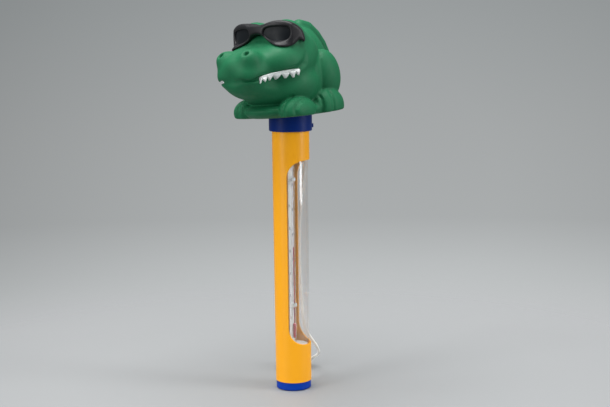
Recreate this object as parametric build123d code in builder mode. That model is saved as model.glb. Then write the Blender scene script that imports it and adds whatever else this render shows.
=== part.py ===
"""Floating pool thermometer: a soft crocodile float on a weighted tube that holds a spirit thermometer.

The frame is millimetres, +Z up, with the origin at the centre of the bottom cap's flat underside.
The crocodile looks along -Y, and its left side is +X.
"""

import math
import os

from build123d import *

os.makedirs("parts", exist_ok=True)

# Driving heights
CAP_FLANGE = 5.4  # exposed height of the bottom cap
WINDOW_LOW = 30.4
WINDOW_HIGH = 153.2
COLLAR_LOW = 172.0
COLLAR_HIGH = 182.7
FIGURE_BASE = 183.0  # underside of the crocodile
FIGURE_TILT = 3.8  # degrees that the soft float leans on its spigot, left side up

# Housing tube, which tapers for its mould
TUBE_TOP = 181.0
TUBE_R_LOW = 11.85
TUBE_R_HIGH = 12.2
TUBE_WALL = 1.0
WINDOW_AZIMUTH = 22.0  # degrees from +X towards +Y
WINDOW_FLOOR = 0.5  # the side-on notch stops this far from the axis
WINDOW_CORNER = 12.0

# Clear sleeve inside the housing
SLEEVE_LOW = 25.3
SLEEVE_HIGH = 172.0
SLEEVE_WALL = 0.9
SLEEVE_GAP = 0.1
FIT_GAP = 0.05  # clearance between parts that are pushed together

# Collar and its spigot
COLLAR_R = 14.1
COLLAR_EDGE = 0.4  # chamfer of its rims
SPIGOT_R = 9.0
SPIGOT_WALL = 1.8
SPIGOT_TOP = 191.2
BARB_LOW = 187.0
BARB_R = 10.2
BARB_FACE = 0.8  # height of the barb's widest band
NECK_CLEARANCE = 0.1
LUG_WIDTH = 10.4
LUG_REACH = 19.1
LUG_LOW = 173.2
LUG_HIGH = 175.6
LUG_HOLE_R = 1.2
LUG_HOLE_Y = 16.6
LUG_ROOT = 1.2  # how far the lug runs into the collar
LUG_CORNER = 2.6

# Bottom cap and ballast
CAP_R = 11.5
CAP_PLUG_TOP = 10.0
CAP_EDGE_R = 0.9
PLUG_CHAMFER = 0.5
BALLAST_R = 10.3
BALLAST_COUNT = 3
BALLAST_DISC = 4.6
BALLAST_CHAMFER = 0.4
PAD_THICK = SLEEVE_LOW - CAP_PLUG_TOP - BALLAST_COUNT * BALLAST_DISC

# Thermometer insert. Its parts are placed along the window's normal, from the axis
LOWER_PLUG_TOP = 29.4
UPPER_PLUG_LOW = 158.0
UPPER_PLUG_TOP = 166.0
RING_SECTION_R = 0.75
LOWER_RING = 26.85
UPPER_RING = 163.0
CARD_WIDTH = 10.0
CARD_THICK = 0.6
CARD_BACK = -1.0
CARD_SLOT = 1.2
STEM_OUT = 1.05
STEM_R = 1.15
STEM_TOP = 150.0
BORE_R = 0.4
BULB_R = 1.4
BULB_LOW = 33.0
BULB_HIGH = 44.0
BULB_WALL = 0.35
BORE_LOW = 42.0
BORE_HIGH = 147.5
SPIRIT_R = 0.36
SPIRIT_TOP = 94.8  # 22 degrees Celsius on a scale of 1.503 mm a degree, with zero at 61.7
CLIP_HEIGHTS = {"lower": 56.0, "upper": 140.0}
CLIP_WALL = 0.6
CLIP_TALL = 2.0
CLIP_FOOT = 5.9  # width of the clip's foot on the card

# Tether cord
CORD_D = 2.0
KNOT_R = 2.2
KNOT_RISE = 1.4
COIL_CENTRE = (-30.2, 36.0)
COIL_R_IN = 8.0
COIL_R_OUT = 12.0
COIL_HEIGHT = 10.0
COIL_CORNER = 0.99
END_KNOT_R = 2.0

# Crocodile: ellipsoid lumps as (centre, radii), with heights above the figure's base. A pair is given for +X
CENTRE_LUMPS = {
    "body": ((0, 13, 24), (17.5, 22, 33)),
    "cranium": ((0, -5, 38.5), (24, 23, 19)),
    "snout": ((0, -34, 31.5), (16, 22, 11.5)),
    "muzzle": ((0, -41, 28), (15.5, 14, 11.5)),
    "lower_jaw": ((0, -31, 18.5), (15, 21, 8.5)),
    "throat": ((0, -10, 16), (24, 20, 15)),
    "belly": ((0, 4, 3), (25, 37, 9)),
}
PAIRED_LUMPS = {
    "eye_mound": ((13, -14, 48.5), (12, 12, 12)),
    "nostril": ((9.8, -47, 36.5), (6.3, 7, 6)),
    "cheek": ((15.5, -17, 30), (11.5, 18, 14)),
    "shoulder": ((17, 2, 23), (9.5, 14, 20)),
    "front_paw": ((19.5, -17, 4.5), (10, 15, 8.5)),
    "thigh": ((18.5, 15, 23), (8.5, 11.5, 16.5)),
    "hind_foot": ((21.5, 13, 4.5), (8.5, 13, 10)),
}
RIDGE_R = 4.8
RIDGE_POINTS = (
    (0, 8, 53.5),
    (0, 14.5, 56.3),
    (0, 21.5, 54.6),
    (0, 28.5, 49.8),
    (0, 34.2, 44),
    (0, 38.3, 37),
    (0, 40, 22),
    (0, 39, 7),
)
TAIL_LUMPS = (
    ((-9, 39, 5), (10, 7, 8)),
    ((-20, 34, 4), (9, 7, 6.5)),
    ((-27, 25, 3), (5.5, 8, 5)),
)
# The hollow follows the biggest lumps, one wall thickness in, and opens at the neck
HOLLOW_CENTRE = ("body", "cranium", "snout", "muzzle", "lower_jaw", "throat")
HOLLOW_PAIRED = ("eye_mound", "cheek", "shoulder")
SHELL_WALL = 2.4
BASE_WALL = 2.6
NECK_POCKET = (13.0, 20.0)  # radius and height inside
COLLAR_POCKET_R = 14.5  # room that the leaning base leaves for the collar

# Sunglasses: a curved front on a vertical cylinder that the lenses share
GLASSES_CURVE_R = 48.0
GLASSES_FRONT_Y = -29.7
LENS_CENTRE = (15.0, 52.0)
RIM_SIZE = (22.0, 16.4)
RIM_CORNER = 5.0
LENS_SIZE = (15.6, 9.6)
LENS_CORNER = 3.6
LENS_RECESS = 0.8
BRIDGE_SIZE = (14.0, 6.0)
BRIDGE_LIFT = 3.6
GLASSES_REAR_Y = -11.5
GLASSES_TALL = 40.0  # height of the cylinders that curve them, taller than any rim

# Teeth: a zigzag strip wrapped on the jaw
TEETH_COUNT = 6
TEETH_FRONT = (-44.5, 24.5)  # y and height of the gum line's front end
TEETH_REAR = (-15.5, 29.5)
TOOTH_LENGTH = 4.6
TOOTH_ROOT = 0.9  # depth of the gum strip between two teeth
TEETH_PROUD = 0.9
JAW_SPAN = 40.0  # reaches past the widest part of the jaw


def lump(centre, radii, grow=0.0, mirrored=False):
    """One ellipsoid of the crocodile, raised to the figure's base, and grown or mirrored in X if asked."""
    x, y, z = centre
    ball = Sphere(1, mode=Mode.PRIVATE)
    sized = scale(ball, by=tuple(r + grow for r in radii), mode=Mode.PRIVATE)
    return sized.moved(Location((-x if mirrored else x, y, z + FIGURE_BASE)))


def capsule(start, end, radius):
    """A round-ended bar between two points whose heights are above the figure's base."""
    lift = Vector(0, 0, FIGURE_BASE)
    a, b = Vector(start) + lift, Vector(end) + lift
    along = Plane(origin=a, z_dir=b - a)
    length = (b - a).length
    bar = Cylinder(radius, length, align=(Align.CENTER, Align.CENTER, Align.MIN), mode=Mode.PRIVATE)
    return bar.moved(along.location), Sphere(radius, mode=Mode.PRIVATE).moved(Location(b))


def window_plane(height=0.0):
    """A horizontal plane at a height whose x axis is the window's outward normal."""
    return Plane.XY.rotated((0, 0, WINDOW_AZIMUTH)).offset(height)


def tube_radius(height, low=TUBE_R_LOW, high=TUBE_R_HIGH):
    """The housing's outer radius at a height, on its taper."""
    share = min(max((height - CAP_FLANGE) / (COLLAR_LOW - CAP_FLANGE), 0.0), 1.0)
    return low + (high - low) * share


def sleeve_radius(height):
    """The clear sleeve's outer radius at a height."""
    return tube_radius(height) - TUBE_WALL - SLEEVE_GAP


def leaning(part):
    """The part turned by the float's lean, about a level line through the neck."""
    return part.rotate(Axis(origin=(0, 0, FIGURE_BASE), direction=(0, 1, 0)), -FIGURE_TILT)


def finish(builder, name, part=None):
    """Labels a finished sub-part, or the leaning copy of it, and writes its STEP file."""
    part = builder.part if part is None else part
    part.label = name
    export_step(part, f"parts/{name}.step")


# ---------------------------------------------------------------- housing

with BuildPart() as bottom_cap:
    Cylinder(CAP_R, CAP_FLANGE, align=(Align.CENTER, Align.CENTER, Align.MIN))
    fillet(bottom_cap.edges().group_by(Axis.Z)[0], CAP_EDGE_R)
    with Locations((0, 0, CAP_FLANGE)):
        plug_r = TUBE_R_LOW - TUBE_WALL
        Cylinder(plug_r, CAP_PLUG_TOP - CAP_FLANGE, align=(Align.CENTER, Align.CENTER, Align.MIN))
    chamfer(bottom_cap.edges().group_by(Axis.Z)[-1], PLUG_CHAMFER)
finish(bottom_cap, "bottom_cap")

with BuildPart() as housing_tube:
    with BuildSketch(Plane.XZ):
        with BuildLine():
            Polyline(
                (TUBE_R_LOW, CAP_FLANGE),
                (TUBE_R_HIGH, COLLAR_LOW),
                (TUBE_R_HIGH, TUBE_TOP),
                (TUBE_R_HIGH - TUBE_WALL, TUBE_TOP),
                (TUBE_R_HIGH - TUBE_WALL, COLLAR_LOW),
                (TUBE_R_LOW - TUBE_WALL, CAP_FLANGE),
                close=True,
            )
        make_face()
    revolve(axis=Axis.Z)
    # The window is one side-on notch with rounded inner corners, cut straight across the tube
    side_on = Plane(origin=(0, 0, 0), x_dir=window_plane().x_dir, z_dir=-window_plane().y_dir)
    with BuildSketch(side_on):
        notch_depth = 2 * TUBE_R_HIGH
        notch_height = WINDOW_HIGH - WINDOW_LOW
        with Locations((WINDOW_FLOOR + notch_depth / 2, (WINDOW_LOW + WINDOW_HIGH) / 2)):
            notch = Rectangle(notch_depth, notch_height)
        fillet(notch.vertices().group_by(Axis.X)[0], WINDOW_CORNER)
    extrude(amount=2 * TUBE_R_HIGH, both=True, mode=Mode.SUBTRACT)
finish(housing_tube, "housing_tube")

with BuildPart() as collar:
    with BuildSketch(Plane.XZ):
        with BuildLine():
            Polyline(
                (TUBE_R_HIGH, COLLAR_LOW),
                (COLLAR_R - COLLAR_EDGE, COLLAR_LOW),
                (COLLAR_R, COLLAR_LOW + COLLAR_EDGE),
                (COLLAR_R, COLLAR_HIGH - COLLAR_EDGE),
                (COLLAR_R - COLLAR_EDGE, COLLAR_HIGH),
                (SPIGOT_R, COLLAR_HIGH),
                (SPIGOT_R, BARB_LOW),
                (BARB_R, BARB_LOW + COLLAR_EDGE),
                (BARB_R, BARB_LOW + COLLAR_EDGE + BARB_FACE),
                (SPIGOT_R - COLLAR_EDGE, SPIGOT_TOP),
                (SPIGOT_R - SPIGOT_WALL, SPIGOT_TOP),
                (SPIGOT_R - SPIGOT_WALL, COLLAR_HIGH),
                (0, COLLAR_HIGH),
                (0, TUBE_TOP),
                (TUBE_R_HIGH, TUBE_TOP),
                close=True,
            )
        make_face()
    revolve(axis=Axis.Z)
    with BuildSketch(Plane.XY.offset(LUG_LOW)):
        lug_root = COLLAR_R - LUG_ROOT
        with Locations((0, (lug_root + LUG_REACH) / 2)):
            lug = Rectangle(LUG_WIDTH, LUG_REACH - lug_root)
        fillet(lug.vertices().group_by(Axis.Y)[-1], LUG_CORNER)
        with Locations((0, LUG_HOLE_Y)):
            Circle(LUG_HOLE_R, mode=Mode.SUBTRACT)
    extrude(amount=LUG_HIGH - LUG_LOW)
finish(collar, "collar")

for index in range(BALLAST_COUNT):
    with BuildPart() as ballast_disc:
        with Locations((0, 0, CAP_PLUG_TOP + index * BALLAST_DISC)):
            Cylinder(BALLAST_R, BALLAST_DISC, align=(Align.CENTER, Align.CENTER, Align.MIN))
        chamfer(ballast_disc.edges().filter_by(GeomType.CIRCLE), BALLAST_CHAMFER)
    finish(ballast_disc, f"ballast_disc_{index + 1}")

with BuildPart() as ballast_pad:
    with Locations((0, 0, SLEEVE_LOW - PAD_THICK)):
        Cylinder(BALLAST_R, PAD_THICK, align=(Align.CENTER, Align.CENTER, Align.MIN))
finish(ballast_pad, "ballast_pad")

# ---------------------------------------------------------------- thermometer insert

with BuildPart() as clear_sleeve:
    with BuildSketch(Plane.XZ):
        with BuildLine():
            r_low, r_high = sleeve_radius(SLEEVE_LOW), sleeve_radius(SLEEVE_HIGH)
            Polyline(
                (r_low, SLEEVE_LOW),
                (r_high, SLEEVE_HIGH),
                (r_high - SLEEVE_WALL, SLEEVE_HIGH),
                (r_low - SLEEVE_WALL, SLEEVE_LOW),
                close=True,
            )
        make_face()
    revolve(axis=Axis.Z)
finish(clear_sleeve, "clear_sleeve")


def sleeve_plug(low, high, ring_height, slot_low, slot_high):
    """A round stopper that seals the sleeve, with a groove for its ring and a slot for the card's end."""
    radius = sleeve_radius(low) - SLEEVE_WALL - FIT_GAP
    with BuildPart() as plug:
        with Locations((0, 0, low)):
            Cylinder(radius, high - low, align=(Align.CENTER, Align.CENTER, Align.MIN))
        with BuildSketch(Plane.XZ):
            with Locations((radius, ring_height)):
                Rectangle(4 * RING_SECTION_R, 2 * (RING_SECTION_R + FIT_GAP))
        revolve(axis=Axis.Z, mode=Mode.SUBTRACT)
        with BuildSketch(window_plane(slot_low)):
            with Locations((CARD_BACK + CARD_THICK / 2, 0)):
                Rectangle(CARD_THICK + 2 * FIT_GAP, CARD_WIDTH + 4 * FIT_GAP)
        extrude(amount=slot_high - slot_low, mode=Mode.SUBTRACT)
    return plug


def plug_ring(low, ring_height):
    """The round rubber ring that sits in a plug's groove and meets the sleeve's wall."""
    outer = sleeve_radius(low) - SLEEVE_WALL - FIT_GAP / 5
    with BuildPart() as ring:
        with BuildSketch(Plane.XZ):
            with Locations((outer - RING_SECTION_R, ring_height)):
                Circle(RING_SECTION_R)
        revolve(axis=Axis.Z)
    return ring


lower_slot = LOWER_PLUG_TOP - CARD_SLOT
upper_slot = UPPER_PLUG_LOW + CARD_SLOT
finish(sleeve_plug(SLEEVE_LOW, LOWER_PLUG_TOP, LOWER_RING, lower_slot, LOWER_PLUG_TOP), "lower_plug")
finish(sleeve_plug(UPPER_PLUG_LOW, UPPER_PLUG_TOP, UPPER_RING, UPPER_PLUG_LOW, upper_slot), "upper_plug")
finish(plug_ring(SLEEVE_LOW, LOWER_RING), "lower_seal_ring")
finish(plug_ring(UPPER_PLUG_LOW, UPPER_RING), "upper_seal_ring")

with BuildPart() as scale_card:
    with BuildSketch(window_plane(lower_slot)):
        with Locations((CARD_BACK + CARD_THICK / 2, 0)):
            Rectangle(CARD_THICK, CARD_WIDTH)
    extrude(amount=upper_slot - lower_slot)
finish(scale_card, "scale_card")


def stem_profile(radius, low, high):
    """The half outline of a tube with two round ends, on the stem's own axis."""
    Line((0, low), (0, high))
    RadiusArc((0, high), (radius, high - radius), radius)
    Line((radius, high - radius), (radius, low + radius))
    RadiusArc((radius, low + radius), (0, low), radius)


stem_x, stem_y, _ = tuple(window_plane().x_dir * STEM_OUT)
stem_side = Plane(origin=(stem_x, stem_y, 0), x_dir=(1, 0, 0), z_dir=(0, -1, 0))
stem_axis = Axis(origin=(stem_x, stem_y, 0), direction=(0, 0, 1))

with BuildPart() as thermometer_glass:
    for radius, low, high, mode in (
        (BULB_R, BULB_LOW, BULB_HIGH, Mode.ADD),
        (STEM_R, BORE_LOW - STEM_R, STEM_TOP, Mode.ADD),
        (BULB_R - BULB_WALL, BULB_LOW + BULB_WALL, BULB_HIGH - BULB_WALL, Mode.SUBTRACT),
        (BORE_R, BORE_LOW, BORE_HIGH, Mode.SUBTRACT),
    ):
        with BuildSketch(stem_side):
            with BuildLine():
                stem_profile(radius, low, high)
            make_face()
        revolve(axis=stem_axis, mode=mode)
finish(thermometer_glass, "thermometer_glass")

BULB_SPIRIT_TOP = BULB_HIGH - BULB_WALL - FIT_GAP
with BuildPart() as bulb_spirit:
    with BuildSketch(stem_side):
        with BuildLine():
            stem_profile(BULB_R - BULB_WALL - FIT_GAP, BULB_LOW + BULB_WALL + FIT_GAP, BULB_SPIRIT_TOP)
        make_face()
    revolve(axis=stem_axis)
finish(bulb_spirit, "bulb_spirit")

with BuildPart() as spirit_column:
    with Locations((stem_x, stem_y, BULB_SPIRIT_TOP + FIT_GAP)):
        column_length = SPIRIT_TOP - BULB_SPIRIT_TOP - FIT_GAP
        Cylinder(SPIRIT_R, column_length, align=(Align.CENTER, Align.CENTER, Align.MIN))
finish(spirit_column, "spirit_column")

card_front = CARD_BACK + CARD_THICK
for clip_name, height in CLIP_HEIGHTS.items():
    with BuildPart() as stem_clip:
        with BuildSketch(window_plane(height - CLIP_TALL / 2)):
            with Locations((STEM_OUT, 0)):
                Circle(STEM_R + CLIP_WALL)
            with Locations(((card_front + STEM_OUT) / 2, 0)):
                Rectangle(STEM_OUT - card_front, 2 * (STEM_R + CLIP_WALL))
            with Locations((card_front + CLIP_WALL / 2, 0)):
                Rectangle(CLIP_WALL, CLIP_FOOT)
            with Locations((STEM_OUT, 0)):
                Circle(STEM_R + FIT_GAP / 2, mode=Mode.SUBTRACT)
            with Locations((card_front - STEM_R, 0)):
                Rectangle(2 * STEM_R, CLIP_FOOT, mode=Mode.SUBTRACT)
        extrude(amount=CLIP_TALL)
    finish(stem_clip, f"stem_clip_{clip_name}")

# ---------------------------------------------------------------- crocodile float

shape_lumps = [lump(*value) for value in CENTRE_LUMPS.values()]
shape_lumps += [lump(*value, mirrored=side) for value in PAIRED_LUMPS.values() for side in (False, True)]
shape_lumps += [lump(*value) for value in TAIL_LUMPS]
for start, end in zip(RIDGE_POINTS, RIDGE_POINTS[1:]):
    shape_lumps += capsule(start, end, RIDGE_R)

with BuildPart() as crocodile_outside:
    for piece in shape_lumps:
        add(piece)
    split(bisect_by=Plane.XY.offset(FIGURE_BASE), keep=Keep.TOP)

with BuildPart() as crocodile_hollow:
    for name in HOLLOW_CENTRE:
        add(lump(*CENTRE_LUMPS[name], grow=-SHELL_WALL))
    for name in HOLLOW_PAIRED:
        for side in (False, True):
            add(lump(*PAIRED_LUMPS[name], grow=-SHELL_WALL, mirrored=side))
    split(bisect_by=Plane.XY.offset(FIGURE_BASE + BASE_WALL), keep=Keep.TOP)
    with Locations((0, 0, FIGURE_BASE + BASE_WALL)):
        Cylinder(*NECK_POCKET, align=(Align.CENTER, Align.CENTER, Align.MIN))

with BuildPart() as crocodile_float:
    add(leaning(crocodile_outside.part - crocodile_hollow.part))
    with Locations((0, 0, FIGURE_BASE - BASE_WALL)):
        Cylinder(
            SPIGOT_R + NECK_CLEARANCE,
            3 * BASE_WALL,
            align=(Align.CENTER, Align.CENTER, Align.MIN),
            mode=Mode.SUBTRACT,
        )
    with Locations((0, 0, FIGURE_BASE)):
        Cylinder(
            COLLAR_POCKET_R,
            2 * BASE_WALL,
            align=(Align.CENTER, Align.CENTER, Align.MAX),
            mode=Mode.SUBTRACT,
        )
finish(crocodile_float, "crocodile_float")

LENS_HEIGHT = LENS_CENTRE[1] + FIGURE_BASE
curve_y = GLASSES_FRONT_Y + GLASSES_CURVE_R
with BuildPart() as sunglasses:
    with BuildSketch(Plane.XZ.offset(-GLASSES_REAR_Y)):
        for side in (-1, 1):
            with Locations((side * LENS_CENTRE[0], LENS_HEIGHT)):
                RectangleRounded(*RIM_SIZE, RIM_CORNER)
        with Locations((0, LENS_HEIGHT + BRIDGE_LIFT)):
            Rectangle(*BRIDGE_SIZE)
    extrude(amount=-(GLASSES_FRONT_Y - GLASSES_REAR_Y) + 1)
    with Locations((0, curve_y, LENS_HEIGHT)):
        Cylinder(GLASSES_CURVE_R, GLASSES_TALL, mode=Mode.INTERSECT)
    with BuildSketch(Plane.XZ.offset(-GLASSES_FRONT_Y + 1)):
        for side in (-1, 1):
            with Locations((side * LENS_CENTRE[0], LENS_HEIGHT)):
                RectangleRounded(*LENS_SIZE, LENS_CORNER)
    lens_cut = extrude(amount=GLASSES_FRONT_Y - GLASSES_REAR_Y, mode=Mode.PRIVATE)
    inner = Cylinder(GLASSES_CURVE_R - LENS_RECESS, GLASSES_TALL, mode=Mode.PRIVATE)
    lens_cut = lens_cut - inner.moved(Location((0, curve_y, LENS_HEIGHT)))
    add(lens_cut, mode=Mode.SUBTRACT)
    add(crocodile_outside.part, mode=Mode.SUBTRACT)
finish(sunglasses, "sunglasses", leaning(sunglasses.part))

with BuildPart() as jaw_skin:
    for name in ("snout", "muzzle", "lower_jaw", "throat"):
        add(lump(*CENTRE_LUMPS[name], grow=TEETH_PROUD))
    add(lump(*PAIRED_LUMPS["cheek"], grow=TEETH_PROUD))

for side_name, side in (("left", 1), ("right", -1)):
    with BuildPart() as teeth:
        with BuildSketch(Plane.YZ):
            with BuildLine():
                run = Vector(*TEETH_REAR) - Vector(*TEETH_FRONT)
                start = Vector(TEETH_FRONT[0], TEETH_FRONT[1] + FIGURE_BASE)
                points = [start + run * (i / TEETH_COUNT / 2) for i in range(2 * TEETH_COUNT + 1)]
                drops = [TOOTH_LENGTH if i % 2 else TOOTH_ROOT for i in range(2 * TEETH_COUNT + 1)]
                tips = [(p.X, p.Y - d) for p, d in zip(points, drops)]
                Polyline(tuple(points[0])[:2], *tips, tuple(points[-1])[:2], close=True)
            make_face()
        extrude(amount=JAW_SPAN)
        add(jaw_skin.part, mode=Mode.INTERSECT)
        add(crocodile_outside.part, mode=Mode.SUBTRACT)
        if side < 0:
            mirror(about=Plane.YZ, mode=Mode.REPLACE)
    finish(teeth, f"teeth_{side_name}", leaning(teeth.part))

# ---------------------------------------------------------------- tether

with BuildPart() as tether_knot:
    with Locations((0, LUG_HOLE_Y, LUG_HIGH + KNOT_RISE)):
        Sphere(KNOT_R)
    split(bisect_by=Plane.XY.offset(LUG_HIGH), keep=Keep.TOP)
finish(tether_knot, "tether_knot")

# Straight down from the stopper knot through the lug, then out and round to the coil behind the tube
CORD_ROUTE = [
    (0.0, LUG_HOLE_Y, LUG_HIGH),
    (0.0, LUG_HOLE_Y, 158.0),
    (-4.6, 16.9, 135.0),
    (-8.0, 17.2, 107.0),
    (-8.6, 17.7, 78.0),
    (-7.8, 18.8, 55.0),
    (-7.6, 19.8, 39.0),
    (-6.6, 24.2, 29.5),
    (-5.2, 30.3, 22.0),
    (-6.9, 36.0, 15.5),
    (-12.4, 41.8, 11.5),
    (-18.9, 46.8, 8.0),
    (-26.0, 50.0, 4.0),
    (-32.0, 48.9, CORD_D / 2),
]


def cord_radii(route):
    """The largest arc that each corner's two runs leave room for."""
    radii = []
    for a, b, c in zip(route, route[1:], route[2:]):
        before, after = Vector(b) - Vector(a), Vector(c) - Vector(b)
        half_turn = math.radians(before.get_angle(after)) / 2
        radii.append(0.45 * min(before.length, after.length) / math.tan(half_turn))
    return radii


radii = cord_radii(CORD_ROUTE)
print("cord radii mm", [round(r, 1) for r in radii])
with BuildPart() as tether_cord:
    with BuildLine() as cord_line:
        FilletPolyline(*CORD_ROUTE, radius=radii)
    with BuildSketch(Plane(origin=CORD_ROUTE[0], z_dir=Vector(CORD_ROUTE[1]) - Vector(CORD_ROUTE[0]))):
        Circle(CORD_D / 2)
    sweep()
cord_length = sum(edge.length for edge in cord_line.edges())
section = math.pi * CORD_D**2 / 4
print("cord length mm", round(cord_length, 1), "volume over section", tether_cord.part.volume / section)
finish(tether_cord, "tether_cord")

with BuildPart() as tether_coil:
    with BuildSketch(Plane.XZ):
        with Locations(((COIL_R_IN + COIL_R_OUT) / 2, COIL_HEIGHT / 2)):
            RectangleRounded(COIL_R_OUT - COIL_R_IN, COIL_HEIGHT, COIL_CORNER)
    revolve(axis=Axis.Z)
tether_coil.part.position = (*COIL_CENTRE, 0)
finish(tether_coil, "tether_coil")

with BuildPart() as tether_end_knot:
    coil_middle = (COIL_R_IN + COIL_R_OUT) / 2
    with Locations((COIL_CENTRE[0] + coil_middle, COIL_CENTRE[1], COIL_HEIGHT + END_KNOT_R)):
        Sphere(END_KNOT_R)
finish(tether_end_knot, "tether_end_knot")
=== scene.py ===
"""Floating pool thermometer: a soft crocodile float in sunglasses on a weighted tube with a side window.

The crocodile, its sunglasses and its teeth are sculpted here as distance fields and turned into meshes.
The scale, the red column and the cord are made here too. The tube, collar, cap and the other inner parts
are the CAD's own, with materials made here.
"""

import math

import bpy
import numpy as np
from mathutils import Matrix, Vector


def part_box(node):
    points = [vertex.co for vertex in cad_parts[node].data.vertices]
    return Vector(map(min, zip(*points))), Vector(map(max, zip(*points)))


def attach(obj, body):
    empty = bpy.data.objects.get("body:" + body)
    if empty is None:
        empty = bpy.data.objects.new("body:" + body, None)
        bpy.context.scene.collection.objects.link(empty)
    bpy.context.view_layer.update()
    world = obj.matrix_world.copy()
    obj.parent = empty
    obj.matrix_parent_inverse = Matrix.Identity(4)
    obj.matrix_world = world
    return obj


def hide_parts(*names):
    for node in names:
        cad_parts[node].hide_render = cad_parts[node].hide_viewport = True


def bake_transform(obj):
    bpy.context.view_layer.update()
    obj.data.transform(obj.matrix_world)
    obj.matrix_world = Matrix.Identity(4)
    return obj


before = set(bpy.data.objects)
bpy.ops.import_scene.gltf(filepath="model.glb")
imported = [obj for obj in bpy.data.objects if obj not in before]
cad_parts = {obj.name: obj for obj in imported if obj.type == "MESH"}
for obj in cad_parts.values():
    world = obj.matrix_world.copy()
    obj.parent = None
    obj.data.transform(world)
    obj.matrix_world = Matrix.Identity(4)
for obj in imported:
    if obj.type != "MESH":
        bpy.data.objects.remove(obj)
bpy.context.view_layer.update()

MM = 0.001
FIGURE_BODY = "float_figure"
FIGURE_BASE = 183.0  # height of the CAD float's flat underside on the tube's axis
FIGURE_TILT = math.radians(3.8)  # how far the soft float leans on its spigot, left side up
GRID_STEP = 0.55

# The camera's place, from the tube's axis
CAMERA_AZIMUTH = math.radians(40.0)
CAMERA_DISTANCE = 0.822
CAMERA_HEIGHT = 0.2393
CAMERA_PITCH = math.radians(8.0)
CAMERA_YAW = math.radians(0.62)
CAMERA_ROLL = math.radians(0.686)
CAMERA_LENS = 74.48

# Lights: place in the view (right, away, up), width and height, power
SOFTBOXES = {
    "top_softbox": ((-0.1, -0.1, 1.3), (1.2, 1.0), 28),
    "left_softbox": ((-1.1, -0.75, 0.55), (0.5, 1.2), 11),
    "right_softbox": ((1.15, -0.35, 0.5), (0.35, 1.2), 9.5),
}
LIGHT_TARGET = (0, 0, 0.13)

# The backdrop, with painted light: greys from the floor line up, darker upwards, and painted shade as it
# darkens away from its painted brightest spot
BACKDROP_LOW, BACKDROP_HIGH = -0.23, 0.02
BACKDROP_BOTTOM = (0.62, 0.635, 0.645, 1)
BACKDROP_TOP = (0.325, 0.345, 0.35, 1)
BACKDROP_GREYS = ((0.13, 0.52), (0.32, 0.4), (0.6, 0.375))
BRIGHT_SPOT_SHIFT = (0.08, 0, -0.12)
SPOT_EDGE, SPOT_CORE, EDGE_LEVEL = 0.95, 0.995, 0.78
FILL_COLOR = (0.45, 0.46, 0.47, 1)
FILL_STRENGTH = 0.5

FLOOR_RADIUS = 1.5
FLOOR_SIDES = 96
FLOOR_DROP = 0.0002  # keeps the floor just under the object's own faces
FLOOR_COLOR = (0.3, 0.309, 0.314, 1)
FLOOR_ROUGHNESS = 0.55
FLOOR_FADE = (0.08, 0.5)  # where the floor starts and ends its fade, from the axis


# ---------------------------------------------------------------- camera, light and floor


def view_axes():
    """The directions to the right of the view and away from the camera, both level."""
    right = Vector((math.cos(CAMERA_AZIMUTH), math.sin(CAMERA_AZIMUTH), 0))
    away = Vector((-math.sin(CAMERA_AZIMUTH), math.cos(CAMERA_AZIMUTH), 0))
    return right, away


def in_view(right_by, away_by, height):
    """A point given by how far it is to the right of the tube's axis, behind it, and up."""
    right, away = view_axes()
    return right * right_by + away * away_by + Vector((0, 0, height))


def make_camera():
    right, away = view_axes()
    level = away * math.cos(CAMERA_YAW) + right * math.sin(CAMERA_YAW)
    forward = level * math.cos(CAMERA_PITCH) - Vector((0, 0, math.sin(CAMERA_PITCH)))
    side = forward.cross(Vector((0, 0, 1))).normalized()
    up = side.cross(forward)
    rolled_up = up * math.cos(CAMERA_ROLL) + side * math.sin(CAMERA_ROLL)
    rolled_side = forward.cross(rolled_up)
    camera = bpy.data.objects.new("camera", bpy.data.cameras.new("camera"))
    bpy.context.collection.objects.link(camera)
    camera.data.lens = CAMERA_LENS
    camera.data.clip_start = 0.01
    axes = Matrix((rolled_side, rolled_up, -forward)).transposed()
    camera.matrix_world = Matrix.Translation(in_view(0, -CAMERA_DISTANCE, CAMERA_HEIGHT)) @ axes.to_4x4()
    bpy.context.scene.camera = camera


def make_lights():
    for name, (spot, size, power) in SOFTBOXES.items():
        light = bpy.data.lights.new(name, "AREA")
        light.shape = "RECTANGLE"
        light.size, light.size_y = size
        light.energy = power
        lamp = bpy.data.objects.new(name, light)
        bpy.context.collection.objects.link(lamp)
        place = in_view(*spot)
        lamp.location = place
        lamp.rotation_euler = (Vector(LIGHT_TARGET) - place).to_track_quat("-Z", "Y").to_euler()


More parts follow.
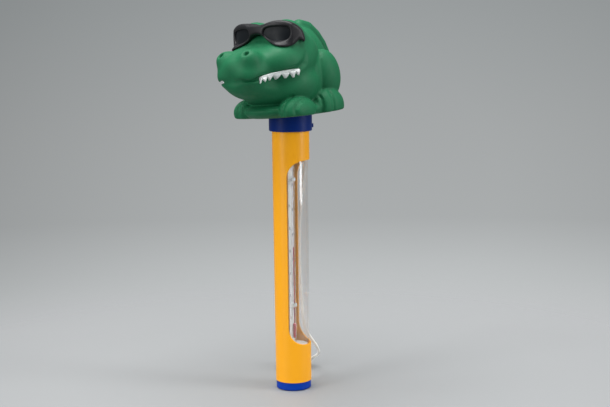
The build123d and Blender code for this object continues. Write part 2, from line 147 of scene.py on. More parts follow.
def make_world():
    """A grey backdrop with painted light falloff, darker upwards and to the sides, seen directly or through
    the clear parts.

    The object itself is lit by an even grey.
    """
    world = bpy.data.worlds.new("studio")
    bpy.context.scene.world = world
    world.use_nodes = True
    nodes, links = world.node_tree.nodes, world.node_tree.links
    nodes.clear()
    place = nodes.new("ShaderNodeTexCoord")
    parts = nodes.new("ShaderNodeSeparateXYZ")
    ramp = nodes.new("ShaderNodeValToRGB")
    lift = nodes.new("ShaderNodeMapRange")
    towards = nodes.new("ShaderNodeVectorMath")
    falloff = nodes.new("ShaderNodeMapRange")
    shaded = nodes.new("ShaderNodeVectorMath")
    seen = nodes.new("ShaderNodeBackground")
    fill = nodes.new("ShaderNodeBackground")
    path = nodes.new("ShaderNodeLightPath")
    direct = nodes.new("ShaderNodeMath")
    mix = nodes.new("ShaderNodeMixShader")
    out = nodes.new("ShaderNodeOutputWorld")
    # Painted light falloff: the backdrop's grey by height, dimmed away from a painted bright spot
    lift.inputs["From Min"].default_value = BACKDROP_LOW
    lift.inputs["From Max"].default_value = BACKDROP_HIGH
    ramp.color_ramp.elements[0].color = BACKDROP_BOTTOM
    ramp.color_ramp.elements[1].color = BACKDROP_TOP
    for position, level in BACKDROP_GREYS:
        ramp.color_ramp.elements.new(position).color = (level, level * 1.04, level * 1.05, 1)
    towards.operation = "DOT_PRODUCT"
    _, away = view_axes()
    towards.inputs[1].default_value = (away + Vector(BRIGHT_SPOT_SHIFT)).normalized()
    falloff.inputs["From Min"].default_value = SPOT_EDGE
    falloff.inputs["From Max"].default_value = SPOT_CORE
    falloff.inputs["To Min"].default_value = EDGE_LEVEL
    shaded.operation = "SCALE"
    fill.inputs["Color"].default_value = FILL_COLOR
    fill.inputs["Strength"].default_value = FILL_STRENGTH
    direct.operation = "MAXIMUM"
    links.new(place.outputs["Generated"], parts.inputs[0])
    links.new(place.outputs["Generated"], towards.inputs[0])
    links.new(parts.outputs["Z"], lift.inputs["Value"])
    links.new(lift.outputs[0], ramp.inputs[0])
    links.new(towards.outputs["Value"], falloff.inputs["Value"])
    links.new(ramp.outputs[0], shaded.inputs[0])
    links.new(falloff.outputs[0], shaded.inputs["Scale"])
    links.new(shaded.outputs[0], seen.inputs["Color"])
    links.new(path.outputs["Is Camera Ray"], direct.inputs[0])
    links.new(path.outputs["Is Transmission Ray"], direct.inputs[1])
    links.new(direct.outputs[0], mix.inputs[0])
    links.new(fill.outputs[0], mix.inputs[1])
    links.new(seen.outputs[0], mix.inputs[2])
    links.new(mix.outputs[0], out.inputs["Surface"])


def make_floor():
    """A pale disc that fades out into the backdrop."""
    angles = [math.tau * i / FLOOR_SIDES for i in range(FLOOR_SIDES)]
    rim = [(FLOOR_RADIUS * math.cos(a), FLOOR_RADIUS * math.sin(a), 0) for a in angles]
    mesh = bpy.data.meshes.new("floor")
    mesh.from_pydata(rim, [], [list(range(FLOOR_SIDES))])
    floor = bpy.data.objects.new("floor", mesh)
    bpy.context.collection.objects.link(floor)
    floor.location.z = -FLOOR_DROP
    material = bpy.data.materials.new("floor")
    material.use_nodes = True
    nodes, links = material.node_tree.nodes, material.node_tree.links
    shader = nodes["Principled BSDF"]
    shader.inputs["Base Color"].default_value = FLOOR_COLOR
    shader.inputs["Roughness"].default_value = FLOOR_ROUGHNESS
    place = nodes.new("ShaderNodeTexCoord")
    length = nodes.new("ShaderNodeVectorMath")
    length.operation = "LENGTH"
    fade = nodes.new("ShaderNodeMapRange")
    fade.interpolation_type = "SMOOTHSTEP"
    fade.inputs["From Min"].default_value, fade.inputs["From Max"].default_value = FLOOR_FADE
    fade.inputs["To Min"].default_value = 1.0
    fade.inputs["To Max"].default_value = 0.0
    links.new(place.outputs["Object"], length.inputs[0])
    links.new(length.outputs["Value"], fade.inputs["Value"])
    links.new(fade.outputs[0], shader.inputs["Alpha"])
    mesh.materials.append(material)


# ---------------------------------------------------------------- materials


CLOUD_SCALE = 60.0
GLOSS_SCALE = 220.0
GLOSS_NOISE = (0.3, 0.7)
GLOSS_SPREAD = (0.88, 1.14)
WORN_POINTINESS = (0.53, 0.62)
GRAIN_DEPTH = 0.0002


def plastic(name, color, roughness, grain=0.0, grain_size=900.0, mottling=0.0, edge_wear=0.0, **sockets):
    """A moulded plastic: slight mottling, fine grain, roughness that varies, and paler worn edges."""
    material = bpy.data.materials.new(name)
    material.use_nodes = True
    nodes, links = material.node_tree.nodes, material.node_tree.links
    shader = nodes["Principled BSDF"]
    for socket, value in sockets.items():
        shader.inputs[socket.replace("_", " ")].default_value = value
    place = nodes.new("ShaderNodeTexCoord")

    def noise(scale, detail):
        node = nodes.new("ShaderNodeTexNoise")
        node.inputs["Scale"].default_value = scale
        node.inputs["Detail"].default_value = detail
        links.new(place.outputs["Object"], node.inputs["Vector"])
        return node

    cloud = noise(CLOUD_SCALE, 4.0)
    tint = nodes.new("ShaderNodeMix")
    tint.data_type = "RGBA"
    tint.inputs[6].default_value = (*(c * (1 - mottling) for c in color), 1)
    tint.inputs[7].default_value = (*(min(1, c * (1 + mottling)) for c in color), 1)
    links.new(cloud.outputs[0], tint.inputs[0])
    worn = nodes.new("ShaderNodeMix")
    worn.data_type = "RGBA"
    worn.inputs[7].default_value = (*(min(1, c * 1.3 + 0.02) for c in color), 1)
    edges = nodes.new("ShaderNodeNewGeometry")
    sharp = nodes.new("ShaderNodeMapRange")
    sharp.inputs["From Min"].default_value, sharp.inputs["From Max"].default_value = WORN_POINTINESS
    sharp.inputs["To Max"].default_value = edge_wear
    links.new(edges.outputs["Pointiness"], sharp.inputs["Value"])
    links.new(sharp.outputs[0], worn.inputs[0])
    links.new(tint.outputs[2], worn.inputs[6])
    links.new(worn.outputs[2], shader.inputs["Base Color"])
    gloss = nodes.new("ShaderNodeMapRange")
    gloss.inputs["From Min"].default_value, gloss.inputs["From Max"].default_value = GLOSS_NOISE
    gloss.inputs["To Min"].default_value = roughness * GLOSS_SPREAD[0]
    gloss.inputs["To Max"].default_value = min(1, roughness * GLOSS_SPREAD[1])
    links.new(noise(GLOSS_SCALE, 3.0).outputs[0], gloss.inputs["Value"])
    links.new(gloss.outputs[0], shader.inputs["Roughness"])
    if grain:
        bump = nodes.new("ShaderNodeBump")
        bump.inputs["Strength"].default_value = grain
        bump.inputs["Distance"].default_value = GRAIN_DEPTH
        links.new(noise(grain_size, 3.0).outputs[0], bump.inputs["Height"])
        links.new(bump.outputs[0], shader.inputs["Normal"])
    return material


def clear(name, tint, roughness, ior):
    """A clear, thin-walled plastic or glass: it hardly bends light, lets it in, and its gloss is a coat."""
    return plastic(name, tint, roughness, grain=0.03, grain_size=140.0, Transmission_Weight=0.97, IOR=ior,
                   Alpha=0.36, Coat_Weight=1.0, Coat_IOR=2.3, Coat_Roughness=0.03)


def make_materials():
    return {
        "green": plastic("green", (0.007, 0.122, 0.049), 0.58, grain=0.25, mottling=0.07, edge_wear=0.12,
                         Specular_IOR_Level=0.22),
        "frame": plastic("frame", (0.012, 0.012, 0.014), 0.4, grain=0.15, mottling=0.1, edge_wear=0.12,
                         Specular_IOR_Level=0.24),
        "lens": plastic("lens", (0.006, 0.008, 0.01), 0.42, grain=0.04, mottling=0.05,
                        Specular_IOR_Level=0.12),
        "teeth": plastic("teeth", (0.82, 0.86, 0.85), 0.4, grain=0.1, mottling=0.03),
        # The collar's blue is the cap's blue made darker: painted shade from the float that overhangs it
        "blue_in_painted_shade": plastic("blue_in_painted_shade", (0.0005, 0.019, 0.15), 0.42, grain=0.06, mottling=0.03,
                        Specular_IOR_Level=0.13),
        "blue": plastic("blue", (0.0005, 0.042, 0.37), 0.42, grain=0.06, mottling=0.03,
                        Specular_IOR_Level=0.12),
        "yellow": plastic("yellow", (0.98, 0.42, 0.008), 0.38, grain=0.04, mottling=0.012,
                          Specular_IOR_Level=0.3),
        "clear": clear("clear", (0.99, 0.995, 0.995), 0.02, 1.03),
        "glass": clear("glass", (0.995, 0.995, 0.995), 0.01, 1.12),
        "red": plastic("red", (0.55, 0.01, 0.01), 0.2, mottling=0.05),
        "card": plastic("card", (0.85, 0.85, 0.83), 0.45, grain=0.08, mottling=0.02),
        "ink": plastic("ink", (0.015, 0.015, 0.018), 0.5, mottling=0.1),
        "white": plastic("white", (0.78, 0.78, 0.76), 0.4, grain=0.1, mottling=0.03),
        "rubber": plastic("rubber", (0.02, 0.02, 0.02), 0.7, grain=0.2, mottling=0.1),
        "steel": plastic("steel", (0.55, 0.55, 0.56), 0.35, grain=0.1, mottling=0.1, Metallic=1.0),
        "cord": plastic("cord", (0.84, 0.83, 0.79), 0.55, grain=0.4, grain_size=2500.0, mottling=0.05,
                        Sheen_Weight=0.3, Sheen_Roughness=0.5),
    }


NODE_MATERIALS = {
    "bottom_cap": "blue",
    "housing_tube": "yellow",
    # painted shade: the collar gets the darkened copy of the cap's blue
    "collar": "blue_in_painted_shade",
    "clear_sleeve": "clear",
    "thermometer_glass": "glass",
    "bulb_spirit": "red",
    "scale_card": "card",
    "lower_plug": "white",
    "upper_plug": "white",
    "stem_clip_lower": "white",
    "stem_clip_upper": "white",
    "lower_seal_ring": "rubber",
    "upper_seal_ring": "rubber",
    "ballast_pad": "rubber",
    "ballast_disc_1": "steel",
    "ballast_disc_2": "steel",
    "ballast_disc_3": "steel",
    "tether_knot": "cord",
    "tether_end_knot": "cord",
}


def paint(node, material):
    """Gives a CAD node its material."""
    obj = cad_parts[node]
    obj.data.materials.clear()
    obj.data.materials.append(material)


# ---------------------------------------------------------------- distance fields, in mm from the base


class Field:
    """A box of grid points, with the shapes that a field is built from. Negative is inside."""

    def __init__(self, low, high, step):
        self.low = np.array(low, np.float32)
        self.step = step
        shape = [int(math.ceil((b - a) / step)) + 1 for a, b in zip(low, high)]
        axes = [np.float32(a) + np.arange(n, dtype=np.float32) * np.float32(step)
                for a, n in zip(low, shape)]
        self.x, self.y, self.z = np.meshgrid(*axes, indexing="ij", sparse=True)
        self.ax = np.abs(self.x)

    def ellipsoid(self, centre, radii, tilt=0.0, mirrored=False):
        """tilt turns it about X, nose up, in degrees. A mirrored one is there on both sides."""
        x = (self.ax if mirrored else self.x) - centre[0]
        y, z = self.y - centre[1], self.z - centre[2]
        if tilt:
            c, s = math.cos(math.radians(tilt)), math.sin(math.radians(tilt))
            y, z = c * y - s * z, s * y + c * z
        rx, ry, rz = radii
        near = np.sqrt((x / rx) ** 2 + (y / ry) ** 2 + (z / rz) ** 2)
        slope = np.sqrt((x / rx**2) ** 2 + (y / ry**2) ** 2 + (z / rz**2) ** 2)
        return (near * (near - 1) / np.maximum(slope, 1e-6)).astype(np.float32)

    def bar(self, start, end, r_start, r_end=None, mirrored=False):
        """A round bar from one point to another, whose radius may change."""
        r_end = r_start if r_end is None else r_end
        x = (self.ax if mirrored else self.x) - start[0]
        y, z = self.y - start[1], self.z - start[2]
        d = np.subtract(end, start).astype(np.float32)
        t = np.clip((x * d[0] + y * d[1] + z * d[2]) / float(d @ d), 0, 1)
        gap = np.sqrt((x - t * d[0]) ** 2 + (y - t * d[1]) ** 2 + (z - t * d[2]) ** 2)
        return gap - (r_start + (r_end - r_start) * t)

    def chain(self, points, radii, mirrored=False):
        """A run of bars through the points."""
        pairs = zip(points, points[1:], radii, radii[1:])
        bars = [self.bar(a, b, ra, rb, mirrored) for a, b, ra, rb in pairs]
        whole = bars[0]
        for bar in bars[1:]:
            whole = np.minimum(whole, bar)
        return whole


def join(a, b, blend):
    """The union of two fields, with a fillet of about that size where they meet."""
    h = np.maximum(blend - np.abs(a - b), 0) / blend
    return np.minimum(a, b) - h * h * blend / 4


def cut(a, b, blend):
    """What is left of a field outside another, with a rounded edge."""
    return -join(-a, b, blend)


def overlap(a, b, blend):
    """What is inside both fields, with a rounded edge."""
    return -join(-a, -b, blend)


HEAD_LUMPS = (
    # centre, radii, tilt, mirrored, fillet
    ((0, -5, 38.5), (24, 23, 19), 0, False, 0),
    ((12.5, -14, 48), (12, 12, 12), 0, True, 5),
    ((0, -33, 31), (16.5, 22.5, 11.5), 3, False, 7),
    ((0, -40.5, 29), (16, 14, 11.5), 0, False, 4),
    ((7.8, -45.3, 26), (7.5, 9.5, 8), 0, True, 5),
    ((9.8, -46.5, 36), (6, 7, 5.8), 0, True, 4),
    ((15.5, -17.5, 33), (11.5, 20, 12), 4, True, 6),
)
JAW_LUMPS = (
    ((0, -31.5, 18), (14.5, 22, 8.5), 6, False, 0),
    ((0, -16, 17), (21.5, 19, 13), 0, False, 5),
    ((11.5, -9, 19.5), (15, 18, 14.5), 0, True, 4),
)
BODY_LUMPS = (
    ((0, 12, 25), (17.5, 23, 32), 0, False, 0),
    ((0, 22, 21), (9, 18.5, 25), 0, False, 3),
    ((14.5, 3, 24), (9, 10, 19), 0, True, 6),
    ((0, 3, 2.5), (24.5, 38, 8), 0, False, 4),
)
LIMB_LUMPS = (
    ((18.5, 15.5, 24), (8.8, 11.5, 16.5), -12, True, 1.2),
    ((21.5, 13, 4), (8.5, 13, 11.5), 0, True, 1.2),
    ((19.3, -15.5, 2.5), (9.3, 14.5, 9), 0, True, 1.0),
)
RIDGE_LINE = ((0, 8, 53.5), (0, 14.5, 56.3), (0, 21.5, 54.6), (0, 28.5, 49.8), (0, 34.2, 44),
              (0, 38.3, 37), (0, 40.2, 28), (0, 40.5, 17), (0, 40, 8))
RIDGE_RADII = (3.5, 4.6, 5.0, 5.0, 4.8, 4.6, 4.4, 4.6, 5.5)
TAIL_LINE = ((0, 38, 6), (-10, 39.5, 5.5), (-20, 35, 4.5), (-27, 26, 3.8), (-29.5, 17, 3))
TAIL_RADII = (7.5, 6.6, 5.6, 4.4, 3.2)
MOUTH_LINE = ((0, -56, 21.5), (8, -54, 22.6), (14.5, -46, 23.8), (20.5, -33, 26), (26, -20, 28.8),
              (28, -14.5, 32), (28, -12, 38))
MOUTH_RADII = (0.8, 1.0, 1.2, 1.2, 1.6, 2.3, 1.0)
MOUTH_EDGE = 2.4
NOSTRILS = ((10.3, -52.6, 40.2), (10.6, -50.0, 38.8))
NOSTRIL_R = 1.4
PRESSED_EDGE = 2.0  # rounding of the toe grooves' and nostrils' edges
JAW_BLEND = 3.0
HEAD_BLEND = 1.3
RIDGE_BLEND = 1.6
TAIL_BLEND = 3.0
UNDERSIDE_DIP = 1.9  # how far the soft base hangs down near its front
UNDERSIDE_RADIUS = 400.0
UNDERSIDE_CENTRE_Y = -18.0
UNDERSIDE_EDGE = 1.0
TOE_GROOVES = (
    ((19, -29.4, -2), (19, -29.8, 4), (19.8, -25.6, 9.4), (20.3, -20.5, 11.3)),
    ((26, -24, -2), (26, -25.6, 3), (25.8, -22.8, 7.2), (25.3, -17.5, 9.2)),
    ((24.6, 2, -2), (26.2, 2, 3.5), (25, 2.4, 8), (22.9, 3, 10.4)),
    ((29, 9, -2), (29.8, 9, 4), (28.4, 9.3, 10), (25.8, 9.6, 13.5)),
)
TOE_GROOVE_RADII = (0.9, 0.9, 0.7, 0.3)


def lumps(grid, table):
    """The union of a table's lumps, each joined with its own fillet."""
    whole = None
    for centre, radii, tilt, mirrored, fillet in table:
        piece = grid.ellipsoid(centre, radii, tilt, mirrored)
        whole = piece if whole is None else join(whole, piece, fillet)
    return whole


def crocodile_head(grid):
    """The head and jaws, with the mouth line pressed in."""
    head = lumps(grid, HEAD_LUMPS)
    jaw = lumps(grid, JAW_LUMPS)
    head = join(head, jaw, JAW_BLEND)
    return cut(head, grid.chain(MOUTH_LINE, MOUTH_RADII, mirrored=True), MOUTH_EDGE)


def crocodile(grid):
    """The whole float as a solid, before its underside is trimmed and it is hollowed."""
    head = crocodile_head(grid)
    body = lumps(grid, BODY_LUMPS)
    spine = grid.chain(RIDGE_LINE, RIDGE_RADII)
    body = join(body, spine, RIDGE_BLEND)
    body = join(body, grid.chain(TAIL_LINE, TAIL_RADII), TAIL_BLEND)
    whole = join(body, head, HEAD_BLEND)
    for centre, radii, tilt, mirrored, fillet in LIMB_LUMPS:
        whole = join(whole, grid.ellipsoid(centre, radii, tilt, mirrored), fillet)
    for groove in TOE_GROOVES:
        whole = cut(whole, grid.chain(groove, TOE_GROOVE_RADII, mirrored=True), PRESSED_EDGE)
    return cut(whole, grid.bar(*NOSTRILS, NOSTRIL_R, mirrored=True), PRESSED_EDGE)


def surface(grid, field, name):
    """Turns a field into a mesh object by surface nets: a vertex in each cell that the surface crosses."""
    inside = field < 0
    corners = [(i, j, k) for i in (0, 1) for j in (0, 1) for k in (0, 1)]
    n = [s - 1 for s in field.shape]

    def block(values, corner):
        return values[tuple(slice(c, c + m) for c, m in zip(corner, n))]

    count = sum(block(inside, c).astype(np.int8) for c in corners)
    active = (count > 0) & (count < 8)
    cells = np.argwhere(active)
    number = np.full(active.shape, -1, np.int32)
    number[active] = np.arange(len(cells))
    total = np.zeros((len(cells), 3), np.float64)
    hits = np.zeros(len(cells))
    for a in corners:
        for axis in range(3):
            if a[axis]:
                continue
            b = tuple(1 if i == axis else c for i, c in enumerate(a))
            va, vb = block(field, a)[active], block(field, b)[active]
            crossed = (va < 0) != (vb < 0)
            share = np.where(crossed, va / np.where(crossed, va - vb, 1), 0)
            for i in range(3):
                total[:, i] += np.where(crossed, a[i] + (share if i == axis else 0), 0)
            hits += crossed
    points = (cells + total / hits[:, None]) * grid.step + grid.low
    quads = []
    for axis in range(3):
        u, v = (axis + 1) % 3, (axis + 2) % 3
        low = [slice(1, -1)] * 3
        low[axis] = slice(0, -1)
        high = list(low)
        high[axis] = slice(1, None)
        here, there = inside[tuple(low)], inside[tuple(high)]
        for flip, edges in ((False, here & ~there), (True, ~here & there)):
            at = np.argwhere(edges)
            at[:, u] += 1
            at[:, v] += 1
            ring = []
            for du, dv in ((-1, -1), (0, -1), (0, 0), (-1, 0)):
                spot = at.copy()
                spot[:, u] += du
                spot[:, v] += dv
                ring.append(number[spot[:, 0], spot[:, 1], spot[:, 2]])
            quads.append(np.stack(ring[::-1] if flip else ring, 1))
    quads = np.concatenate(quads)
    mesh = bpy.data.meshes.new(name)
    mesh.from_pydata((points * MM).tolist(), [], quads.tolist())
    mesh.polygons.foreach_set("use_smooth", np.ones(len(mesh.polygons), bool))
    mesh.update()
    obj = bpy.data.objects.new(name, mesh)
    bpy.context.collection.objects.link(obj)
    return obj


SHELL_WALL = 2.4
NECK_HOLE_R = 9.1
NECK_HOLE_TOP = 8
COLLAR_POCKET_R = 14.5
FLOAT_EXTENT = ((-36, -60, -4), (36, 50, 65))
GLASSES_EXTENT = ((-34, -34, 38), (34, 0, 63))
TEETH_EXTENT = ((8, -50, 16), (31, -15, 35))


def seat(piece):
    """Puts a piece of the float, modelled upright, in its leaning place on the collar."""
    lean = Matrix.Rotation(-FIGURE_TILT, 4, "Y")
    piece.data.transform(Matrix.Translation((0, 0, FIGURE_BASE * MM)) @ lean)
    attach(piece, FIGURE_BODY)


def make_crocodile(materials):
    grid = Field(*FLOAT_EXTENT, GRID_STEP)
    whole = crocodile(grid)
    bowl = (grid.x**2 + (grid.y - UNDERSIDE_CENTRE_Y) ** 2) / (2 * UNDERSIDE_RADIUS) - UNDERSIDE_DIP
    above_base = bowl - grid.z
    whole = overlap(whole, above_base, UNDERSIDE_EDGE)
    hollow = overlap(whole + SHELL_WALL, above_base + SHELL_WALL, UNDERSIDE_EDGE)
    # The neck hole and the collar's room stay upright, so they are cut in level axes
    level_x = grid.x * math.cos(FIGURE_TILT) - grid.z * math.sin(FIGURE_TILT)
    level_z = grid.x * math.sin(FIGURE_TILT) + grid.z * math.cos(FIGURE_TILT)
    from_axis = np.sqrt(level_x**2 + grid.y**2)
    neck = np.maximum(from_axis - NECK_HOLE_R, level_z - NECK_HOLE_TOP)
    pocket = np.maximum(from_axis - COLLAR_POCKET_R, level_z)
    whole = np.maximum(whole, -np.minimum(np.minimum(hollow, neck), pocket))
    figure = surface(grid, whole, "crocodile")
    figure.data.materials.append(materials["green"])
    seat(figure)
    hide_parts("crocodile_float")


# ---------------------------------------------------------------- sunglasses and teeth


GLASSES_AXIS_Y = 18.5
GLASSES_R = 48.0
GLASSES_STEP = 0.4
GLASSES_MIDDLE = 51  # height of the frame's widest part
FRAME_BOW, LENS_BOW = 0.012, 0.02  # how much the front draws in above and below that height
FRAME_LIFT, LENS_LIFT = 1.5, 0.4  # least height over the head
FRAME_FILLET, LENS_FILLET = 2.5, 2.0
RIM_ROUND, LENS_HOLE_ROUND, THIN_ROUND = 2.2, 1.6, 0.5
LENS_SETBACK = 1.2
LENS_OVERLAP = 0.6  # how far each lens runs in under its rim
FRAME_SUNK, LENS_SUNK = 1.0, 1.5  # how deep they sit in the head
TEMPLE_START = 26.0
TEMPLE_TURN_IN = 0.6
GLASSES_DEPTH = 12.5
GLASSES_BACK_Y = -13
# Outlines of one half, along the curve from the nose and up
RIM_OUTLINE = (
    (-4, 56.6), (5, 56.6), (11, 58.4), (17.5, 58.9), (23.5, 57.9), (29, 55.2), (32.3, 52), (33.7, 48.5),
    (33.8, 45.2), (31.8, 46.4), (29.8, 47.2), (28.2, 45.8), (25.8, 43.4), (21.5, 42.5), (15.5, 43.9),
    (9.4, 46.9), (5.8, 50.3), (2.6, 51.9), (-4, 52.1),
)
LENS_OUTLINE = (
    (6.2, 52), (8.2, 55), (22, 54.8), (24.2, 53.2), (24, 49.4), (21.6, 47), (13.4, 47.3), (8.4, 49.6),
)
OUTLINE_ROUND = 0.6


def smoothed(outline):
    """The closed outline with its corners cut twice, which makes a curve of it."""
    for _ in range(2):
        points = np.array(outline, float)
        after = np.roll(points, -1, 0)
        outline = np.stack((0.75 * points + 0.25 * after, 0.25 * points + 0.75 * after), 1).reshape(-1, 2)
    return outline


def outline_distance(u, v, outline, rounding):
    """Distance to a closed outline whose corners are rounded."""
    points = np.array(outline, np.float32)
    best = None
    inside = np.zeros(np.broadcast_shapes(u.shape, v.shape), bool)
    for (ax, ay), (bx, by) in zip(points, np.roll(points, -1, 0)):
        ex, ey = bx - ax, by - ay
        px, py = u - ax, v - ay
        t = np.clip((px * ex + py * ey) / (ex * ex + ey * ey), 0, 1)
        gap = (px - ex * t) ** 2 + (py - ey * t) ** 2
        best = gap if best is None else np.minimum(best, gap)
        if ay != by:
            inside ^= ((v >= ay) != (v >= by)) & (u < ex * (v - ay) / ey + ax)
    return np.sqrt(best) * np.where(inside, -1, 1) - rounding


def make_sunglasses(materials):
    grid = Field(*GLASSES_EXTENT, GLASSES_STEP)
    head = crocodile_head(grid)
    spread = np.sqrt(grid.x**2 + (grid.y - GLASSES_AXIS_Y) ** 2)
    u = np.arctan2(grid.ax, GLASSES_AXIS_Y - grid.y) * GLASSES_R
    rim = outline_distance(u, grid.z, smoothed(RIM_OUTLINE), OUTLINE_ROUND)
    lens = outline_distance(u, grid.z, smoothed(LENS_OUTLINE), OUTLINE_ROUND)
    back_limit = grid.y - GLASSES_BACK_Y
    off_middle = (grid.z - GLASSES_MIDDLE) ** 2
    # Past the lenses the temples turn in towards the head
    turn_in = TEMPLE_TURN_IN * np.maximum(u - TEMPLE_START, 0)
    front = np.maximum(spread - GLASSES_R + turn_in + FRAME_BOW * off_middle, back_limit)
    front = np.maximum(join(front, head - FRAME_LIFT, FRAME_FILLET), GLASSES_R - GLASSES_DEPTH - spread)
    rims = overlap(overlap(front, -(head + FRAME_SUNK), THIN_ROUND), rim, RIM_ROUND)
    rims = overlap(rims, -lens, LENS_HOLE_ROUND)
    glass_front = np.maximum(spread - GLASSES_R + LENS_SETBACK + LENS_BOW * off_middle, back_limit)
    glass = join(glass_front, head - LENS_LIFT, LENS_FILLET)
    glass = overlap(overlap(glass, -(head + LENS_SUNK), THIN_ROUND), lens - LENS_OVERLAP, THIN_ROUND)
    for name, field, material in (("sunglasses_frame", rims, "frame"), ("sunglasses_lenses", glass, "lens")):
        piece = surface(grid, field, name)
        piece.data.materials.append(materials[material])
        seat(piece)
        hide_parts("sunglasses")


TEETH_STEP = 0.3
TEETH_COUNT = 6
TEETH_RAKE = 0.6
TEETH_FRONT = (-44.4, 24.9)  # y and z of the gum line's ends
TEETH_REAR = (-18.5, 28.6)
GUM_RISE = 0.8  # the gum line bows up by this in its middle
GUM_HEIGHT = 1.6  # what is white above the gaps between the teeth
TOOTH_LENGTH = 2.9
TOOTH_GROWTH = 1.3  # how much longer the rearmost teeth are
TOOTH_SLOPE = 0.62  # turns the drop past a tooth's slanted edge into a distance
TEETH_PROUD, TEETH_SUNK = 0.9, 0.8  # how far they stand out of the lip and reach into it
TOOTH_ROUND, TEETH_FACE_ROUND = 0.7, 0.4


def make_teeth(materials, side):
    """One side's zigzag row, raised from the lip and hanging over the lower jaw."""
    grid = Field(*TEETH_EXTENT, TEETH_STEP)
    head = crocodile_head(grid)
    run_y, run_z = np.subtract(TEETH_REAR, TEETH_FRONT)
    t = (grid.y - TEETH_FRONT[0]) / run_y
    gum = TEETH_FRONT[1] + run_z * t + GUM_RISE * np.sin(np.pi * np.clip(t, 0, 1))
    # The teeth rake back as they go down, because the jaw draws in under them
    raked = t - TEETH_RAKE * np.maximum(gum - grid.z, 0) / run_y
    phase = np.abs((raked * TEETH_COUNT) % 1 - 0.5) * 2
    length = GUM_HEIGHT + (TOOTH_LENGTH + TOOTH_GROWTH * t) * (1 - phase)
    below = (gum - grid.z) - length
    row = np.maximum(np.maximum(grid.z - gum, below * TOOTH_SLOPE), np.abs(t - 0.5) * run_y - run_y / 2)
    skin = overlap(head - TEETH_PROUD, -(head + TEETH_SUNK), TEETH_FACE_ROUND)
    teeth = overlap(skin, row, TOOTH_ROUND)
    row_piece = surface(grid, teeth, f"teeth_{side}")
    if side == "right":
        row_piece.data.transform(Matrix.Scale(-1, 4, (1, 0, 0)))
        row_piece.data.flip_normals()
    row_piece.data.materials.append(materials["teeth"])
    seat(row_piece)
    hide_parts(f"teeth_{side}")


# ---------------------------------------------------------------- thermometer insert


WINDOW_AZIMUTH = math.radians(22.0)
CELSIUS_ZERO = 61.7
MM_PER_DEGREE = 1.503
CARD_FRONT = -0.4
INK_LIFT = 0.03
INK_THICK = 0.02
TICKS_AT = 3.2  # how far from the card's middle every tick starts
LONG_TICK, SHORT_TICK = (1.6, 0.28), (0.8, 0.16)
NUMBERS_AT = 3.3
NUMBER_SIZE = 2.1
NUMBER_LIFT = 0.4
CELSIUS_MARKS = range(-10, 51)
FAHRENHEIT_MARKS = range(20, 121, 2)


def card_frame():
    """The card's own axes: across it, up it, and out of the window, as a matrix in metres."""
    out = Vector((math.cos(WINDOW_AZIMUTH), math.sin(WINDOW_AZIMUTH), 0))
    across = Vector((-math.sin(WINDOW_AZIMUTH), math.cos(WINDOW_AZIMUTH), 0))
    axes = Matrix((across, Vector((0, 0, 1)), out)).transposed().to_4x4()
    return Matrix.Translation(out * CARD_FRONT * MM) @ axes


def celsius_height(degree):
    return CELSIUS_ZERO + degree * MM_PER_DEGREE


def fahrenheit_height(degree):
    return celsius_height((degree - 32) / 1.8)


def make_scale(materials):
    """Ticks and plain numbers: Celsius on the side near the camera, Fahrenheit on the other."""
    verts, faces = [], []

    def tick(side, up, long):
        width, height = LONG_TICK if long else SHORT_TICK
        across = side * (TICKS_AT - width / 2)
        at = len(verts)
        for u, v in ((-0.5, -0.5), (0.5, -0.5), (0.5, 0.5), (-0.5, 0.5)):
            verts.append(((across + u * width) * MM, (up + v * height) * MM, INK_LIFT * MM))
        faces.append((at, at + 1, at + 2, at + 3))

    for degree in CELSIUS_MARKS:
        tick(-1, celsius_height(degree), degree % 10 == 0)
    for degree in FAHRENHEIT_MARKS:
        tick(1, fahrenheit_height(degree), degree % 20 == 0)
    mesh = bpy.data.meshes.new("scale_ticks")
    mesh.from_pydata(verts, [], faces)
    ticks = bpy.data.objects.new("scale_ticks", mesh)
    bpy.context.collection.objects.link(ticks)
    mesh.transform(card_frame())
    mesh.materials.append(materials["ink"])
    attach(ticks, "housing")
    numbers = [(-NUMBERS_AT, celsius_height(d), str(d)) for d in CELSIUS_MARKS[::10]]
    numbers += [(NUMBERS_AT, fahrenheit_height(d), str(d)) for d in FAHRENHEIT_MARKS[::10]]
    for index, (across, up, words) in enumerate(numbers):
        text = bpy.data.curves.new(f"scale_number_{index}", "FONT")
        text.body = words
        text.size = NUMBER_SIZE * MM
        text.align_x = "CENTER"
        text.align_y = "BOTTOM_BASELINE"
        text.extrude = INK_THICK * MM
        text.materials.append(materials["ink"])
        number = bpy.data.objects.new(text.name, text)
        bpy.context.collection.objects.link(number)
        spot = Vector((across, up + NUMBER_LIFT, INK_LIFT)) * MM
        number.matrix_world = card_frame() @ Matrix.Translation(spot)
        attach(number, "housing")


SPIRIT_SIDES = 24
SPIRIT_DOME_RINGS = 5
SPIRIT_DOME_REACH = 0.9  # how much of the quarter turn the rounded top makes
SPIRIT_SLACK = 0.98  # share of its bore that the column fills


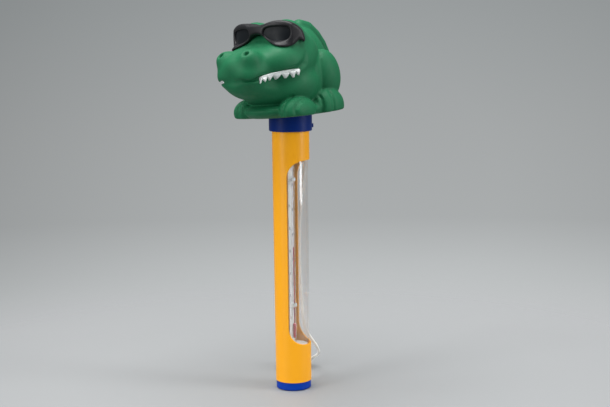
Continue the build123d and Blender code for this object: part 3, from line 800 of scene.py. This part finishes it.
def make_spirit(materials):
    """The column: a round bar from its foot at the bulb up to the CAD column's top, which is rounded."""
    low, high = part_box("spirit_column")
    centre = [(a + b) / 2 for a, b in zip(low, high)]
    radius = (high[0] - low[0]) / 2 * SPIRIT_SLACK
    levels = [(low[2], radius)]
    for i in range(SPIRIT_DOME_RINGS):
        angle = math.pi / 2 * i / (SPIRIT_DOME_RINGS - 1) * SPIRIT_DOME_REACH
        levels.append((high[2] - radius * (1 - math.sin(angle)), radius * math.cos(angle)))
    verts, faces = [], []
    for height, r in levels:
        for i in range(SPIRIT_SIDES):
            a = math.tau * i / SPIRIT_SIDES
            verts.append((centre[0] + r * math.cos(a), centre[1] + r * math.sin(a), height))
    for ring in range(len(levels) - 1):
        for i in range(SPIRIT_SIDES):
            j = (i + 1) % SPIRIT_SIDES
            at, up = ring * SPIRIT_SIDES, (ring + 1) * SPIRIT_SIDES
            faces.append((at + i, at + j, up + j, up + i))
    faces.append(list(range(SPIRIT_SIDES))[::-1])
    faces.append([(len(levels) - 1) * SPIRIT_SIDES + i for i in range(SPIRIT_SIDES)])
    mesh = bpy.data.meshes.new("spirit")
    mesh.from_pydata(verts, [], faces)
    mesh.polygons.foreach_set("use_smooth", [True] * len(mesh.polygons))
    column = bpy.data.objects.new("spirit", mesh)
    bpy.context.collection.objects.link(column)
    mesh.materials.append(materials["red"])
    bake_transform(column)
    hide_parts("spirit_column")


# ---------------------------------------------------------------- tether


CORD_D = 2.0
CORD_ROUTE = [
    (0.0, 16.6, 175.6),
    (0.0, 16.6, 158.0),
    (-4.6, 16.9, 135.0),
    (-8.0, 17.2, 107.0),
    (-8.6, 17.7, 78.0),
    (-7.8, 18.8, 55.0),
    (-7.6, 19.8, 39.0),
    (-6.6, 24.2, 29.5),
    (-5.2, 30.3, 22.0),
    (-6.9, 36.0, 15.5),
    (-12.4, 41.8, 11.5),
    (-18.9, 46.8, 8.0),
    (-26.0, 50.0, 4.0),
    (-32.0, 48.9, 1.0),
]
COIL_LAYERS = 5
COIL_OUTER = 11.0
COIL_INNER = 9.0
POINTS_PER_TURN = 14
COIL_LEAD = 0.55  # angle from the hanging stretch's end to the coil's start
STEP_SHARE = 4  # a change of ring or layer takes one turn divided by this
CORD_SLACK = 0.98  # share of its CAD tube that the cord fills


def coil_points():
    """Five layers, each two turns: an outer and an inner one. The cord's hanging stretch runs into them."""
    low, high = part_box("tether_coil")
    cx, cy = ((a + b) / 2 / MM for a, b in zip(low[:2], high[:2]))
    entry_x, entry_y, _ = CORD_ROUTE[-1]
    begin = math.atan2(entry_y - cy, entry_x - cx) + COIL_LEAD
    points = []
    turns = COIL_LAYERS * 2
    for i in range(turns * POINTS_PER_TURN):
        turn = i / POINTS_PER_TURN
        layer = int(turn // 2)
        # Even layers run inwards and odd ones outwards, with a short step at each change
        step = min(max((turn % 2 - 1) * STEP_SHARE + 0.5, 0), 1)
        step = step * step * (3 - 2 * step)
        inwards = step if layer % 2 == 0 else 1 - step
        radius = COIL_OUTER + (COIL_INNER - COIL_OUTER) * inwards
        climb = (turn % 2 - 2) * STEP_SHARE + 1
        rise = min(max(climb, 0), 1) if layer < COIL_LAYERS - 1 else 0
        height = CORD_D * (0.5 + layer + rise)
        angle = begin + math.tau * turn
        points.append((cx + radius * math.cos(angle), cy + radius * math.sin(angle), height))
    return points


def make_cord(materials):
    points = CORD_ROUTE + coil_points()
    curve = bpy.data.curves.new("tether", "CURVE")
    curve.dimensions = "3D"
    spline = curve.splines.new("NURBS")
    spline.points.add(len(points) - 1)
    for target, (x, y, z) in zip(spline.points, points):
        target.co = (x * MM, y * MM, z * MM, 1)
    spline.order_u = 3
    spline.use_endpoint_u = True
    curve.resolution_u = 6
    curve.bevel_depth = CORD_D / 2 * MM * CORD_SLACK
    curve.bevel_resolution = 4
    curve.use_fill_caps = True
    curve.materials.append(materials["cord"])
    cord = bpy.data.objects.new("tether", curve)
    bpy.context.collection.objects.link(cord)
    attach(cord, "housing")
    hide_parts("tether_cord", "tether_coil")


# ---------------------------------------------------------------- everything

bpy.context.scene.view_settings.view_transform = "Standard"
make_camera()
make_lights()
make_world()
make_floor()
MATERIALS = make_materials()
make_cord(MATERIALS)
for node_name, material_name in NODE_MATERIALS.items():
    paint(node_name, MATERIALS[material_name])
make_crocodile(MATERIALS)
make_sunglasses(MATERIALS)
for jaw_side in ("left", "right"):
    make_teeth(MATERIALS, jaw_side)
make_scale(MATERIALS)
make_spirit(MATERIALS)
